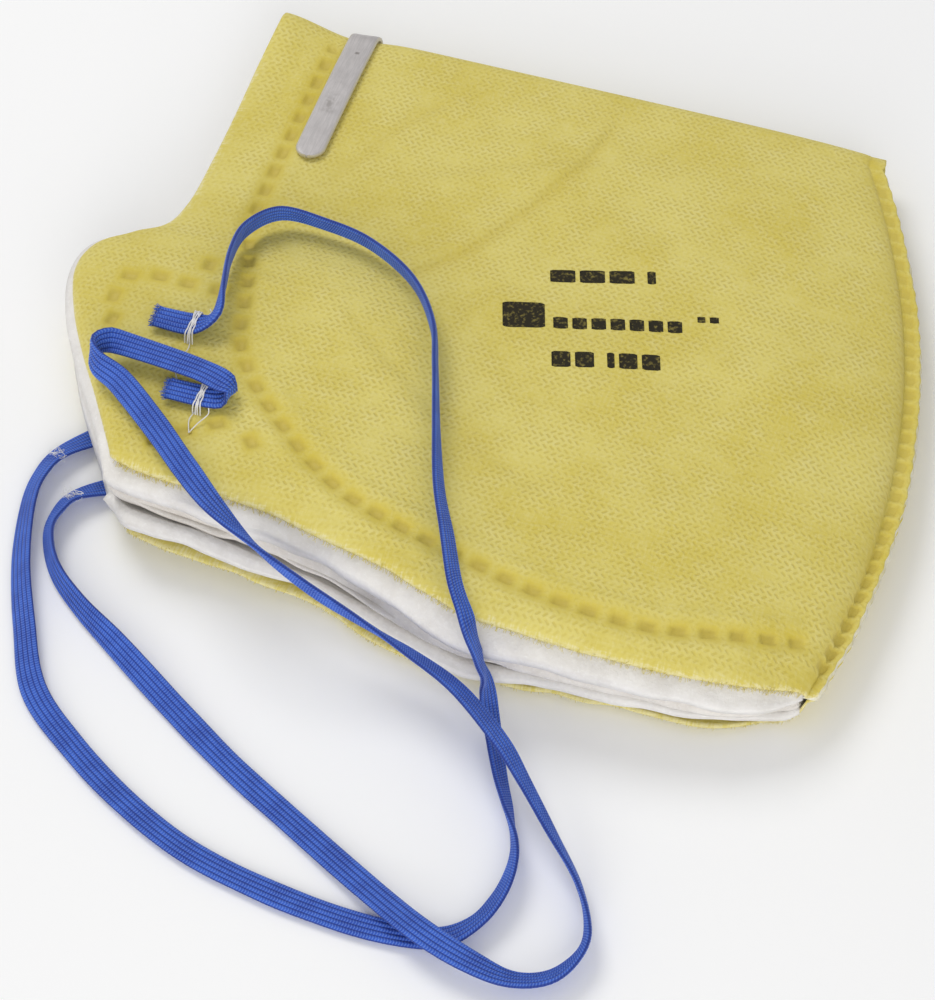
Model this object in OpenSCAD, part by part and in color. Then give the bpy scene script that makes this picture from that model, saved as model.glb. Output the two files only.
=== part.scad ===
// Disposable fold-flat dust mask lying on its side: three soft layers folded along the nose ridge,
// welded down the front, with a bent nose strip and two elastic straps sewn to the tabs.
// +X runs from the nose bridge to the tip, +Z is up, and the folded ridge faces +Y.

/* [Mask] */
// Folded size along the ridge, tab to front seam
mask_length = 144; // [120:1:172]
// Folded size from the ridge to the chin edge
mask_depth = 122; // [100:1:146]
// Height of the upper chin edge above the table
gape = 20; // [17:0.5:26]
// Radius of the fold along the nose ridge
fold_r = 3.5; // [3.1:0.1:4.5]
// How far the front edge bows out past the ridge's tip
front_bow = 20; // [14:1:24]

/* [Layers] */
// Thickness of the outer cover
cover_t = 0.6; // [0.4:0.05:0.8]
// Thickness of the filter layer
filter_t = 1.2; // [0.8:0.1:1.5]
// Thickness of the inner lining
lining_t = 0.5; // [0.35:0.05:0.7]
// Width of the welded front flange
seam_w = 2.8; // [2:0.2:4]

/* [Nose strip] */
// Width of the metal strip
strip_w = 5; // [4:0.5:7]
// Length of each arm, measured from the ridge
strip_arm = 35; // [28:1:42]
// Thickness of the metal strip
strip_t = 0.8; // [0.5:0.1:1]

/* [Straps] */
// Width of the braided strap
strap_w = 4.3; // [3.5:0.1:5.5]
// Thickness of the braided strap
strap_t = 1; // [0.8:0.1:1.2]

/* [Opening] */
// Width of the slit that frees the cheek from the front half
hinge_gap = 0.4; // [0.3:0.05:0.8]

/* [Hidden] */

kx = mask_length / 144;
ky = mask_depth / 122;
mid_z = 2 * fold_r;
layer_gap = 0.25;
tape_t = 0.2;
tape_gap = 0.12;
thread_d = 0.5;
// Depth of each layer's outer face under the cover's outer face
filter_in = cover_t + layer_gap;
lining_in = filter_in + filter_t + layer_gap;
inside_in = lining_in + lining_t;

// Outline in plan: the nose edge with its notch and tab, then the chin edge
nose_edge = [[-57, 56.6], [-57, 46], [-57, 34], [-57, 22], [-57.5, 10], [-60, 3.5], [-66, 0.5], [-71, -4],
             [-72.1, -11], [-69, -20], [-64, -29], [-58, -38], [-52, -47]];
chin_edge = [[-52, -47], [-40, -49], [-28, -50], [-16, -52], [-4, -55.5], [8, -59.3], [20, -60.8],
             [34, -60.9], [48, -60], [58, -57], [65, -53]];
front_top = 55.6;
front_end = -53;

// Line from the ridge's nose corner to the chin end, where the cheek part opens
hinge_from = [-57, 54];
hinge_to = [63, -52];
nose_strip_x = -42;

// Routes as x, y, z and roll: 0 lies flat, 90 stands on edge
strap_1_upper = [
  [-53, -20, 19.9, 0], [-46.6, -20, 20.1, 0], [-43.4, -18.3, 21.3, 50], [-43.8, -13, 21.8, 80],
  [-45.3, -5, 20.8, 84], [-45, 2, 19.8, 84], [-40.8, 7.6, 19, 80], [-33, 7.5, 19, 76],
  [-24, 5, 19.6, 77], [-14.7, -1.5, 20.8, 81], [-8.7, -10, 21.6, 88], [-5.5, -19, 22.1, 86],
  [-1.8, -30.6, 22.5, 80], [2, -41.7, 22.6, 69], [5.8, -50, 22.7, 60], [9.6, -58.5, 22.8, 54],
  [12.6, -62.8, 21, 46], [14, -64.4, 18.2, 42], [15.2, -65.1, 14.5, 41]];
strap_1_lower = [
  [15.6, -65.4, 13.6, 40], [17, -66.2, 8, 42], [18.5, -68.9, 4.5, 46], [22.6, -77.8, 2.6, 57],
  [25.5, -83.4, 2.7, 68], [28.2, -89, 2.7, 96], [29, -93.6, 2.7, 114], [28.5, -98.5, 2.5, 128],
  [26.5, -103.4, 2.1, 140], [22.3, -107, 1.2, 163], [16, -108.2, 0.8, 174], [6, -108.2, 0.7, 177],
  [-7, -106.6, 0.7, 176], [-20, -103.5, 0.7, 176], [-32, -98, 0.7, 178], [-43, -91, 0.7, 184],
  [-52.4, -83.2, 1.2, 196], [-58.1, -72.4, 1.8, 210], [-63, -61, 2.1, 220], [-65.9, -50, 2.2, 228],
  [-66.1, -43.4, 2.1, 222], [-64.2, -38, 1.8, 209], [-57.5, -30.5, 1.2, 184], [-46, -17.5, 1.15, 180]];
strap_2_upper = [
  [-46, -33.8, 20.3, 0], [-40, -33.8, 20.4, 0], [-36.9, -33.2, 20.6, 0], [-35.6, -32.5, 21.6, 90],
  [-36.9, -31.8, 22.6, 180], [-42.7, -30, 22.2, 180], [-55.3, -28.4, 21.9, 195],
  [-58.4, -28.8, 22.2, 235], [-59.8, -30.8, 22.4, 270], [-58, -33.6, 22.2, 305],
  [-53.2, -36, 21.8, 332], [-45, -42.4, 21.3, 345], [-37.6, -49, 21.3, 356], [-30.8, -54.4, 20.7, 384],
  [-23.5, -58, 18.5, 423]];
strap_2_lower = [
  [-22.6, -58.4, 18.2, 425], [-13.6, -60.9, 14.6, 438], [-4.6, -62.8, 11.8, 430],
  [4.3, -65.2, 10.2, 408], [13.4, -69.5, 10.2, 398], [22.2, -76.1, 9.3, 398], [27.4, -80.6, 6.6, 410],
  [33.4, -86.5, 4, 420], [39.2, -92.8, 2.8, 434], [42.5, -99, 2.7, 452], [43, -104, 2.7, 474],
  [40, -109.2, 2.4, 500], [34.6, -111.4, 2.3, 510], [28.1, -111.2, 3.7, 530], [19, -108.4, 4.2, 540],
  [8, -102, 1.7, 540], [-6.2, -94, 0.7, 540], [-18.2, -87.4, 0.7, 542], [-30.2, -79.9, 1, 552],
  [-42.4, -72, 1.9, 582], [-50.8, -66.6, 2.2, 603], [-57, -61.2, 2.3, 610], [-60.5, -55, 2.3, 606],
  [-60.7, -50.2, 2.2, 590], [-58.7, -45.7, 1.9, 576], [-50.5, -40, 1.2, 544], [-39, -32.5, 1.15, 540]];

// ---- surface functions: u runs from the nose edge to the front, v from the ridge to the chin ----
function mix(a, b, t) = a + (b - a) * t;
function ramp(t) = let(c = min(max(t, 0), 1)) c * c * (3 - 2 * c);
function spline(p, t) =
  let(n = len(p) - 1, x = min(max(t * n, 0), n - 0.0001), i = floor(x), f = x - i,
      p1 = p[i], p2 = p[i + 1],
      p0 = i > 0 ? p[i - 1] : 2 * p1 - p2,
      p3 = i < n - 1 ? p[i + 2] : 2 * p2 - p1)
  (2 * p1 + (p2 - p0) * f + (2 * p0 - 5 * p1 + 4 * p2 - p3) * f * f
   + (3 * p1 - p0 - 3 * p2 + p3) * f * f * f) / 2;
function front_x(y) = 72 - front_bow * pow((y + 16) / 74, 2);
function ridge(u) = [mix(-57, front_x(front_top), u), 56.6 - u];
function front(v) = let(y = mix(front_top, front_end, v)) [front_x(y), y];
function plan(u, v) =
  (1 - v) * ridge(u) + v * spline(chin_edge, u) + (1 - u) * spline(nose_edge, v) + u * front(v)
  - (1 - v) * ((1 - u) * ridge(0) + u * ridge(1)) - v * ((1 - u) * chin_edge[0] + u * front(1));

// How open the mask is: 1 over most of it, and 0 where the layers meet the front seam
seam_u = 0.975;
function open_share(u) = sqrt(max(0, 1 - pow(u / seam_u, 8)));
// Height above the middle plane of a face that is set in from the cover's outer face
function offset_z(height, in, u) = mix((inside_in - in) * 0.4 + 0.1, height - in, open_share(u));
function swell(v) = 1 - pow(1 - v, 2.2);
function nose_dip(u, v) = 1 - 0.35 * pow(1 - u, 5) * (1 - v) - 0.1 * pow(1 - u, 4);
function chin_dip(u, v) = 1 - 0.42 * ramp((u - 0.45) / 0.6) * v;
function upper_z(u, v, in) =
  mid_z + offset_z(fold_r + (gape - mid_z - fold_r) * swell(v) * nose_dip(u, v) * chin_dip(u, v), in, u);
// The tabs and the nose edge stand off the table, and the belly lies flat on it
function tab_lift(u) = 2.8 * (1 - ramp((u - 0.2) / 0.16));
function lower_z(u, v, in) =
  mid_z - min(offset_z(fold_r + 9 * swell(v), in, u), mid_z - tab_lift(u) - in);

// A point of the folded sheet: s runs from the lower chin edge, -1, round the ridge to the upper one, 1
fold_s = 0.05;
function sheet_point(u, s, in) =
  let(a = abs(s), v = max(0, (a - fold_s) / (1 - fold_s)), turn = 90 * min(1, a / fold_s) * sign(s),
      p = plan(u, v), x = p.x * kx, y = p.y * ky)
  a < fold_s
    ? [x, y + (fold_r - in) * cos(turn), mid_z + offset_z(fold_r, in, u) * sin(turn)]
    : [x, y, s > 0 ? upper_z(u, v, in) : lower_z(u, v, in)];

// ---- building blocks ----
// Closed slab between two grids of points with the same number of rows and columns
module slab(outer, inner) {
  m = len(outer) - 1;
  n = len(outer[0]) - 1;
  w = n + 1;
  o = (m + 1) * w;
  skin = [for (i = [0:m - 1], j = [0:n - 1]) let(a = i * w + j, b = a + w)
    each [[a, b + 1, a + 1], [a, b, b + 1], [o + a, o + a + 1, o + b + 1], [o + a, o + b + 1, o + b]]];
  ends = [for (i = [0:m - 1], j = [0, n]) let(a = i * w + j, b = a + w)
    each j == 0 ? [[a, o + b, b], [a, o + a, o + b]] : [[a, b, o + b], [a, o + b, o + a]]];
  sides = [for (j = [0:n - 1], i = [0, m]) let(a = i * w + j, b = a + 1)
    each i == 0 ? [[a, b, o + b], [a, o + b, o + a]] : [[a, o + b, b], [a, o + a, o + b]]];
  polyhedron(concat([for (r = outer) each r], [for (r = inner) each r]), concat(skin, ends, sides));
}

columns = [for (i = [0:21]) seam_u * (1 - pow(1 - i / 21, 1.5))];
rows = concat([for (i = [0:13]) -1 + i * 0.95 / 13], [-0.03, -0.01, 0.01, 0.03],
              [for (i = [0:13]) 0.05 + i * 0.95 / 13]);

module folded_layer(in, t) {
  slab([for (u = columns) [for (s = rows) sheet_point(u, s, in)]],
       [for (u = columns) [for (s = rows) sheet_point(u, s, in + t)]]);
}

// Everything above the fold on the cheek side of the hinge line
module cheek_space(gap) {
  along = hinge_to - hinge_from;
  dir = [along.x * kx, along.y * ky] / norm([along.x * kx, along.y * ky]);
  side = [dir.y, -dir.x] * gap;
  a = [hinge_from.x * kx, hinge_from.y * ky] + side - dir * 60;
  b = [hinge_to.x * kx, hinge_to.y * ky] + side + dir * 60;
  translate([0, 0, mid_z + 0.01])
    linear_extrude(60) polygon([a, b, [b.x, -300], [-300, -300], [-300, a.y]]);
}
module on_root() {
  difference() {
    children();
    cheek_space(-hinge_gap / 2);
  }
}
module on_cheek() {
  intersection() {
    children();
    cheek_space(hinge_gap / 2);
  }
}

// Metal or tape band that follows the cover over the ridge at one x, with round ends
module nose_band(out, t, w, arm) {
  arm_v = (arm - fold_r) / (134 * ky);
  tip_v = w / 2 / (134 * ky);
  side_rows = concat([for (a = [0:15:90]) arm_v - tip_v * (1 - cos(a))], [for (k = [4:-1:0]) arm_v * k / 6]);
  side_s = [for (v = side_rows) fold_s + v * (1 - fold_s)];
  band_s = concat([for (s = side_s) -s], [-0.04, -0.025, -0.01, 0.01, 0.025, 0.04],
                  [for (k = [len(side_s) - 1:-1:0]) side_s[k]]);
  function half_width(s) =
    let(v = (abs(s) - fold_s) / (1 - fold_s), c = max(0, (v - arm_v + tip_v) / tip_v))
    w / 2 * sqrt(max(0.01, 1 - c * c));
  function band_u(s, k) =
    (nose_strip_x + 57 + k * half_width(s) / kx) / (front(max(0, (abs(s) - fold_s) / (1 - fold_s))).x + 57);
  slab([for (k = [-1:0.5:1]) [for (s = band_s) sheet_point(band_u(s, k), s, -out - t)]],
       [for (k = [-1:0.5:1]) [for (s = band_s) sheet_point(band_u(s, k), s, -out)]]);
}

// Strap swept along a route; every route point is one ring
module strap(route) {
  n = len(route) - 1;
  p = [for (q = route) [q.x * kx, q.y * ky, q.z > 9 ? q.z + gape - 20 : q.z]];
  w = strap_w / 2;
  t = strap_t / 2;
  section = [[w, t / 2], [w * 0.84, t], [-w * 0.84, t], [-w, t / 2],
             [-w, -t / 2], [-w * 0.84, -t], [w * 0.84, -t], [w, -t / 2]];
  ring = [for (i = [0:n])
    let(d = p[min(i + 1, n)] - p[max(i - 1, 0)], along = d / norm(d),
        s = cross(along, [0, 0, 1]), side = s / norm(s), up = cross(side, along), r = route[i][3],
        flat = side * cos(r) + up * sin(r), face = up * cos(r) - side * sin(r))
    each [for (c = section) p[i] + flat * c.x + face * c.y]];
  wall = [for (i = [0:n - 1], k = [0:7]) let(a = i * 8 + k, b = i * 8 + (k + 1) % 8)
    each [[a, b + 8, a + 8], [a, b, b + 8]]];
  caps = [for (k = [1:6]) each [[0, k + 1, k], [n * 8, n * 8 + k, n * 8 + k + 1]]];
  polyhedron(ring, concat(wall, caps));
}

// Thread loop: a bar over the strap, two legs through the layers and a bar on the inside
leg_reach = strap_w / 2 + thread_d / 2 + 0.2;
module thread_bar(at, z, turn) {
  translate([at.x * kx, at.y * ky, z]) rotate([0, 0, turn])
    rotate([90, 0, 0]) cylinder(h = 2 * leg_reach + thread_d, d = thread_d, center = true, $fn = 16);
}
module thread_legs(at, z_low, z_high, turn, d) {
  translate([at.x * kx, at.y * ky, z_low]) rotate([0, 0, turn])
    for (k = [-1, 1]) translate([0, k * leg_reach, 0]) cylinder(h = z_high - z_low, d = d, $fn = 16);
}
module stitch(at, turn, z_low, z_high) {
  union() {
    thread_bar(at, z_low, turn);
    thread_bar(at, z_high, turn);
    thread_legs(at, z_low, z_high, turn, thread_d - 0.08);
  }
}
// Where each stitch crosses its strap, and the strap's direction there
stitch_1 = [-46.4, -20];
stitch_2 = [-40, -33.8];
lower_stitch_1 = [-49, -20.8];
lower_stitch_2 = [-42, -34.5];
upper_low = gape - 6.4;
upper_high = gape + 1.25;
lower_low = 0.26;
lower_high = 6.6;
module stitch_holes() {
  hole = thread_d + 0.3;
  thread_legs(stitch_1, mid_z + 2, gape + 6, 0, hole);
  thread_legs(stitch_2, mid_z + 2, gape + 6, 0, hole);
  thread_legs(lower_stitch_1, -1, mid_z, 48, hole);
  thread_legs(lower_stitch_2, -1, mid_z, 34, hole);
}

// ---- parts that stay on the table ----
module outer_cover() {
  color("khaki") on_root() difference() { folded_layer(0, cover_t); stitch_holes(); }
}
module filter_layer() {
  color("white") on_root() difference() { folded_layer(filter_in, filter_t); stitch_holes(); }
}
module inner_lining() {
  color("whitesmoke") on_root() difference() { folded_layer(lining_in, lining_t); stitch_holes(); }
}
// Flange where all the layers of both halves are welded together
module front_seam() {
  edge = [for (v = [0:0.05:1]) front(v)];
  rim = [for (q = edge) [q.x * kx, q.y * ky]];
  back = [for (q = edge) [(q.x - seam_w + 0.1) * kx, q.y * ky]];
  color("gold")
    slab([for (i = [0:20]) [[back[i].x, back[i].y, mid_z - 1], [rim[i].x, rim[i].y, mid_z - 0.7]]],
         [for (i = [0:20]) [[back[i].x, back[i].y, mid_z + 1], [rim[i].x, rim[i].y, mid_z + 0.7]]]);
}
module metal_band() { nose_band(tape_t + 2 * tape_gap, strip_t, strip_w, strip_arm); }
module tape_band() { nose_band(tape_gap, tape_t, strip_w - 1, strip_arm - 0.5); }
module nose_strip() { color("silver") on_root() metal_band(); }
module nose_strip_tape() { color("white") on_root() tape_band(); }
module lower_strap_1_stitch() { color("white") stitch(lower_stitch_1, 48, lower_low, lower_high); }
module lower_strap_2_stitch() { color("white") stitch(lower_stitch_2, 34, lower_low, lower_high); }
module strap_1_loop() { color("royalblue") strap(strap_1_lower); }
module strap_2_loop() { color("royalblue") strap(strap_2_lower); }

// ---- parts that lift with the cheek ----
module cheek_cover() {
  color("khaki") on_cheek() difference() { folded_layer(0, cover_t); stitch_holes(); }
}
module cheek_filter() {
  color("white") on_cheek() difference() { folded_layer(filter_in, filter_t); stitch_holes(); }
}
module cheek_lining() {
  color("whitesmoke") on_cheek() difference() { folded_layer(lining_in, lining_t); stitch_holes(); }
}
module cheek_nose_strip() { color("silver") on_cheek() metal_band(); }
module cheek_strip_tape() { color("white") on_cheek() tape_band(); }
module upper_strap_1_stitch() { color("white") stitch(stitch_1, 0, upper_low, upper_high); }
module upper_strap_2_stitch() { color("white") stitch(stitch_2, 0, upper_low, upper_high); }
module upper_strap_1_run() { color("royalblue") strap(strap_1_upper); }
module upper_strap_2_run() { color("royalblue") strap(strap_2_upper); }

outer_cover();
filter_layer();
inner_lining();
front_seam();
nose_strip();
nose_strip_tape();
lower_strap_1_stitch();
lower_strap_2_stitch();
strap_1_loop();
strap_2_loop();
cheek_cover();
cheek_filter();
cheek_lining();
cheek_nose_strip();
cheek_strip_tape();
upper_strap_1_stitch();
upper_strap_2_stitch();
upper_strap_1_run();
upper_strap_2_run();
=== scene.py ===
import math

import bpy
import numpy as np
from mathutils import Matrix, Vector
from mathutils.bvhtree import BVHTree


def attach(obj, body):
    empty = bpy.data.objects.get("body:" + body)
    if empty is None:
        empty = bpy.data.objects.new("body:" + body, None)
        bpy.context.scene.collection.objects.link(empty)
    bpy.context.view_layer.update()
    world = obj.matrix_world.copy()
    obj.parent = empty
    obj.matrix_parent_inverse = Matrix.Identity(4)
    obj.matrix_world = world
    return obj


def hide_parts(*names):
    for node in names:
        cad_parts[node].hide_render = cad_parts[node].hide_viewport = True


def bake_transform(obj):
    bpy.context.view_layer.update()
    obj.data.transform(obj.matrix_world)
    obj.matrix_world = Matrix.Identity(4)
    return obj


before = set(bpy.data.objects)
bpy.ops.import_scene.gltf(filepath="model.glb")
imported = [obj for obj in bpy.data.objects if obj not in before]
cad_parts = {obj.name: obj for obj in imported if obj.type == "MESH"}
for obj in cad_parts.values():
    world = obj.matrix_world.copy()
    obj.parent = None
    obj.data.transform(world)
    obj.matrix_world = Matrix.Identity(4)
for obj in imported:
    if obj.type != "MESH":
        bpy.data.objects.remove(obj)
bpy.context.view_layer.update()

# Disposable dust mask lying on its side. Lengths are millimetres in the CAD frame until a mesh is
# made: +X runs from the nose edge to the front weld, +Y is the folded ridge and +Z is up.
MM = 0.001

# ------------ camera
scene = bpy.context.scene
camera_data = bpy.data.cameras.new("camera")
camera_data.lens = 122.4
camera_data.sensor_width = 36
camera_data.clip_start = 0.01
camera = bpy.data.objects.new("camera", camera_data)
scene.collection.objects.link(camera)
AIM = Vector((0.0024, -0.0273, 0.0))
TOWARDS_CAMERA = Vector((0.1677, -0.5633, 0.8090))
camera.location = AIM + 0.56 * TOWARDS_CAMERA.normalized()
camera.rotation_euler = (-TOWARDS_CAMERA).to_track_quat("-Z", "Y").to_euler()
scene.camera = camera

# ------------ helpers for shape
def ramp(t):
    """Smooth step from 0 to 1."""
    t = np.clip(t, 0, 1)
    return t * t * (3 - 2 * t)


def mix(a, b, t):
    return a + (b - a) * t


def spline(points, t):
    """Curve through the points, t from 0 to 1, spaced evenly over the points."""
    p = np.asarray(points, float)
    n = len(p) - 1
    x = np.clip(np.asarray(t, float) * n, 0, n - 1e-4)
    i = np.floor(x).astype(int)
    f = (x - i)[..., None]
    p1, p2 = p[i], p[i + 1]
    p0 = np.where((i > 0)[..., None], p[np.maximum(i - 1, 0)], 2 * p1 - p2)
    p3 = np.where((i < n - 1)[..., None], p[np.minimum(i + 2, n)], 2 * p2 - p1)
    return (2 * p1 + (p2 - p0) * f + (2 * p0 - 5 * p1 + 4 * p2 - p3) * f**2
            + (3 * p1 - p0 - 3 * p2 + p3) * f**3) / 2


def noise(x, y, cell, seed):
    """Smooth seeded noise from -1 to 1 with bumps about one cell wide."""
    grid = np.random.RandomState(seed).rand(64, 64) * 2 - 1
    fx, fy = np.asarray(x) / cell + 640.0, np.asarray(y) / cell + 640.0
    ix, iy = np.floor(fx).astype(int), np.floor(fy).astype(int)
    sx, sy = ramp(fx - ix), ramp(fy - iy)
    a, b = grid[ix % 64, iy % 64], grid[(ix + 1) % 64, iy % 64]
    c, d = grid[ix % 64, (iy + 1) % 64], grid[(ix + 1) % 64, (iy + 1) % 64]
    return mix(mix(a, b, sx), mix(c, d, sx), sy)


def unit(v):
    return v / np.maximum(np.linalg.norm(v, axis=-1, keepdims=True), 1e-9)


def distance_along(points):
    return np.concatenate([[0], np.cumsum(np.linalg.norm(np.diff(points, axis=0), axis=1))])


# ------------ helpers for meshes
def make_mesh(name, verts, faces, material, sharp=None, uv=None, values=None):
    """Mesh object from millimetre points and quads or triangles (-1 as the fourth corner)."""
    verts = np.asarray(verts, float)
    quads = np.asarray(faces, int)
    tris = quads[:, 3] < 0 if quads.shape[1] == 4 else np.ones(len(quads), bool)
    a, b, c = verts[quads[:, 0]], verts[quads[:, 1]], verts[quads[:, 2]]
    d = np.where(tris[:, None], c, verts[quads[:, -1]])
    volume = (np.einsum("ij,ij->i", a, np.cross(b, c)) + np.einsum("ij,ij->i", a, np.cross(c, d))).sum()
    rows = [list(q[:3]) if t else list(q) for q, t in zip(quads.tolist(), tris.tolist())]
    if volume < 0:
        rows = [r[::-1] for r in rows]
    mesh = bpy.data.meshes.new(name)
    mesh.from_pydata((verts * MM).tolist(), [], rows)
    mesh.polygons.foreach_set("use_smooth", [True] * len(rows))
    if uv is not None:
        loops = np.zeros(len(mesh.loops), int)
        mesh.loops.foreach_get("vertex_index", loops)
        layer = mesh.uv_layers.new(name="flat")
        layer.data.foreach_set("uv", np.asarray(uv, float)[loops].ravel())
    for key, data in (values or {}).items():
        attribute = mesh.attributes.new(key, "FLOAT", "POINT")
        attribute.data.foreach_set("value", np.asarray(data, np.float32))
    if sharp is not None:
        pair = np.zeros(len(mesh.edges) * 2, int)
        mesh.edges.foreach_get("vertices", pair)
        both = sharp[pair[0::2]] & sharp[pair[1::2]]
        attribute = mesh.attributes.new("sharp_edge", "BOOLEAN", "EDGE")
        attribute.data.foreach_set("value", both)
    mesh.materials.append(material)
    mesh.validate()
    mesh.update()
    piece = bpy.data.objects.new(name, mesh)
    scene.collection.objects.link(piece)
    return piece


def grid_faces(m, n, wrap=False, start=0):
    """Quads of an m by n grid of points; wrap joins its last column to its first."""
    i, j = np.meshgrid(np.arange(m - 1), np.arange(n if wrap else n - 1), indexing="ij")
    k = (j + 1) % n
    return np.stack([start + i * n + j, start + (i + 1) * n + j,
                     start + (i + 1) * n + k, start + i * n + k], -1).reshape(-1, 4)


def rim_walk(m, n):
    """Row and column of each point on the rim of a grid, once round."""
    return np.array([(i, 0) for i in range(m)] + [(m - 1, j) for j in range(1, n)]
                    + [(i, n - 1) for i in range(m - 2, -1, -1)] + [(0, j) for j in range(n - 2, 0, -1)]).T


def tube_faces(rings, sides):
    """Quads between the rings of a tube, and triangles onto the two end points that follow the rings."""
    k, last = np.arange(sides), (rings - 1) * sides
    turn, tip = (k + 1) % sides, 0 * k + rings * sides
    return np.concatenate([grid_faces(rings, sides, wrap=True), np.stack([k, turn, tip, 0 * k - 1], -1),
                           np.stack([last + turn, last + k, tip + 1, 0 * k - 1], -1)])


def tube(points, radius, sides=8):
    """Points and quads of a round tube along a line, with closed ends."""
    p = np.asarray(points, float)
    r = np.broadcast_to(np.asarray(radius, float), (len(p),))
    along = unit(np.gradient(p, axis=0))
    side = np.cross(along, [0.31, 0.17, 0.93])
    side = unit(side)
    up = np.cross(side, along)
    turn = np.arange(sides) * 2 * math.pi / sides
    ring = (p[:, None] + r[:, None, None] * (side[:, None] * np.cos(turn)[None, :, None]
                                              + up[:, None] * np.sin(turn)[None, :, None]))
    verts = np.concatenate([ring.reshape(-1, 3), p[:1], p[-1:]])
    return verts, tube_faces(len(p), sides)


def join(parts):
    """Several (points, faces) as one."""
    verts, faces, start = [], [], 0
    for v, f in parts:
        verts.append(v)
        faces.append(np.where(f < 0, f, f + start))
        start += len(v)
    return np.concatenate(verts), np.concatenate(faces)


# ------------ helpers for materials
def linear(r, g, b):
    """Linear colour from the 0-255 display values."""
    return tuple(((v / 255 + 0.055) / 1.055) ** 2.4 if v > 10 else v / 255 / 12.92 for v in (r, g, b)) + (1,)


class Nodes:
    """Small wrapper that keeps node trees short."""

    def __init__(self, name):
        self.material = bpy.data.materials.new(name)
        self.material.use_nodes = True
        self.tree = self.material.node_tree
        self.shader = self.tree.nodes["Principled BSDF"]

    def put(self, socket, value):
        if isinstance(value, bpy.types.NodeSocket):
            self.tree.links.new(value, socket)
        else:
            socket.default_value = value

    def add(self, kind, inputs=(), **settings):
        node = self.tree.nodes.new("ShaderNode" + kind)
        for key, value in settings.items():
            setattr(node, key, value)
        for key, value in dict(inputs).items():
            self.put(node.inputs[key], value)
        return node

    def math(self, operation, a, b=0.0, clamp=False):
        node = self.add("Math", {0: a, 1: b}, operation=operation, use_clamp=clamp)
        return node.outputs[0]

    def times(self, a, b):
        return self.math("MULTIPLY", a, b)

    def plus(self, a, b):
        return self.math("ADD", a, b)

    def minus(self, a, b, clamp=False):
        return self.math("SUBTRACT", a, b, clamp)

    def step(self, value, low, high):
        """0 below low, 1 above high, smooth between."""
        node = self.add("MapRange", {0: value, 1: low, 2: high}, interpolation_type="SMOOTHSTEP")
        return node.outputs[0]

    def blend(self, share, a, b):
        node = self.add("Mix", {0: share, 6: a, 7: b}, data_type="RGBA")
        return node.outputs[2]

    def tint(self, colour, share, strength, *rgb):
        """The colour with another laid over it where share says."""
        return self.blend(self.times(share, strength), colour, linear(*rgb))

    def flat(self):
        """Flat cloth coordinates in millimetres, which stay with the cloth."""
        return self.add("UVMap", uv_map="flat").outputs[0]

    def solid(self):
        """Place on the piece itself, in metres."""
        return self.add("TexCoord").outputs["Object"]

    def noise(self, place, scale, detail=3.0, rough=0.55, stretch=None):
        if stretch is not None:
            place = self.add("Mapping", {0: place, 3: stretch}).outputs[0]
        node = self.add("TexNoise", {0: place, 2: scale, 3: detail, 4: rough})
        return node.outputs[0]

    def attribute(self, name):
        return self.add("Attribute", attribute_name=name).outputs["Fac"]

    def bump(self, height, distance, strength=1.0, under=None):
        node = self.add("Bump", {"Height": height, "Distance": distance, "Strength": strength})
        if under is not None:
            self.put(node.inputs["Normal"], under)
        return node.outputs[0]

    def finish(self, **inputs):
        for key, value in inputs.items():
            self.put(self.shader.inputs[key.replace("_", " ")], value)
        return self.material


def strap_material():
    n = Nodes("strap_blue")
    across, along = n.add("SeparateXYZ", {0: n.flat()}).outputs[:2]
    # five ribs over each face; the grooves between them get painted shade
    rib = n.math("PINGPONG", n.times(across, RIBS), 0.5)
    groove_shade = n.step(rib, 0.2, 0.03)
    # little chevron stitches along each rib, about 0.45 mm apart
    phase = n.plus(n.times(along, 2 * math.pi / 0.45), n.times(rib, 5.5))
    knit_and_highlight = n.math("MULTIPLY_ADD", n.math("SINE", phase), 0.5)
    knit_and_highlight.node.inputs[2].default_value = 0.5
    place = n.solid()
    fuzz = n.noise(place, 5200, 2.0)
    patch = n.noise(place, 260, 3.0)
    worn = n.noise(place, 1500, 2.0)
    colour = n.blend(n.step(patch, 0.3, 0.7), linear(34, 74, 176), linear(52, 98, 204))
    # painted highlight on the crests of the chevron stitches
    colour = n.tint(colour, n.step(knit_and_highlight, 0.35, 0.95), 0.5, 114, 150, 228)
    colour = n.tint(colour, n.step(worn, 0.58, 0.75), 0.25, 36, 66, 160)
    # painted shade in the grooves between the ribs
    colour = n.tint(colour, groove_shade, 0.85, 20, 44, 128)
    height = n.plus(n.times(knit_and_highlight, 0.6), n.times(fuzz, 0.5))
    return n.finish(Base_Color=colour, Roughness=0.62, Sheen_Weight=0.25, Sheen_Roughness=0.4,
                    Specular_IOR_Level=0.35, Normal=n.bump(height, 0.00012, 0.8))


# ------------ shape of the folded mask
FOLD_R, GAPE, MID_Z = 3.5, 20.0, 7.0
FOLD_S, SEAM_U = 0.05, 0.975
INSIDE = 2.8
NOSE_EDGE = [(-57, 56.6), (-57, 46), (-57, 34), (-57, 22), (-57.5, 10), (-60, 3.5), (-66, 0.5), (-71, -4),
             (-72.1, -11), (-69, -20), (-64, -29), (-58, -38), (-52, -47)]
CHIN_EDGE = [(-52, -47), (-40, -49), (-28, -50), (-16, -52), (-4, -55.5), (8, -59.3), (20, -60.8),
             (34, -60.9), (48, -60), (58, -57), (65, -53)]
FRONT_TOP, FRONT_END = 55.6, -53.0
# Where the nose edge and the ridge start, and the nose strip's middle line
NOSE_X, RIDGE_Y, STRIP_X = -57, 56.6, -42
# Millimetres from nose to front and from ridge to chin, and along the strip's arms
REACH_U, REACH_V, REACH_ARM = 128, 108, 134
# Spacing of the squares pressed along the front weld
FRONT_PITCH = 3.0


def front_x(y):
    return 72 - 20 * ((y + 16) / 74) ** 2


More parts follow.
